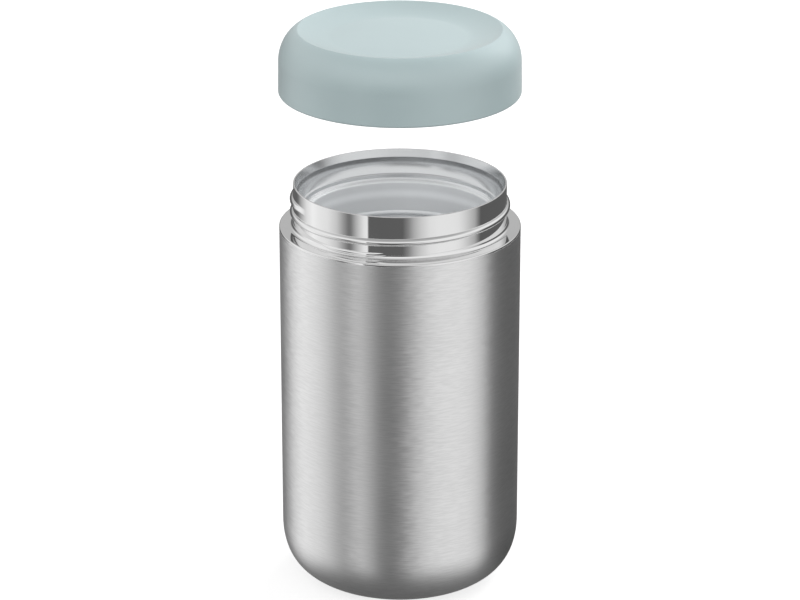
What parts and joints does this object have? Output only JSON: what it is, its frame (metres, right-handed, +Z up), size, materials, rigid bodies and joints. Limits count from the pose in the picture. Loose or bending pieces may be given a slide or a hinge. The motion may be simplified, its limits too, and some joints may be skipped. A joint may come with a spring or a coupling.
{
  "type": "insulated food jar",
  "caption": "Tall round steel food jar with a double wall, a polished screw neck and a wide plastic screw lid held lifted above it.",
  "frame": {"origin": "centre of the jar's foot, on the surface that the jar stands on", "axes": "+Z up along the jar's axis, which is also the lid's screw axis; -Y is the front in the picture"},
  "size_m": [0.093, 0.093, 0.2227],
  "materials": {
    "brushed_steel": "stainless steel brushed round the body",
    "polished_steel": "mirror-polished stainless steel",
    "vessel_steel": "electropolished stainless steel, soft shine",
    "base_steel": "satin stainless steel",
    "solder": "dull solder",
    "foil": "bright foil",
    "getter_metal": "sintered grey metal",
    "lid_plastic": "matte pale grey-green moulded plastic",
    "liner_plastic": "satin pale grey moulded plastic",
    "silicone": "translucent-looking pale silicone rubber",
    "foam": "off-white rigid foam"
  },
  "bodies": {
    "jar": {"body_shell": "brushed_steel", "threaded_neck": "polished_steel", "inner_vessel": "vessel_steel", "base_plate": "base_steel", "base_cover": "base_steel", "vacuum_seal": "solder", "reflective_foil": "foil", "getter": "getter_metal"},
    "foam_disc": {"lid_foam": "foam"},
    "ring": {"seal_ring": "silicone"},
    "lid": {"lid_cap": "lid_plastic", "lid_liner": "liner_plastic"}
  },
  "joints": [
    {"name": "lid_lift", "type": "slide", "parent": "jar", "child": "foam_disc", "axis": [0, 0, 1], "range_m": [-0.0479, 0]},
    {"name": "lid_rise", "type": "slide", "parent": "foam_disc", "child": "ring", "axis": [0, 0, 1], "range_m": [-0.0051, 0]},
    {"name": "lid_turn", "type": "hinge", "parent": "ring", "child": "lid", "pos_m": [0, 0, 0.1981], "axis": [0, 0, 1], "range_deg": [-360, 0]}
  ],
  "couplings": [
    {"joint": "lid_rise", "follows": "lid_turn", "m_per_rad": 0.00081169}
  ]
}
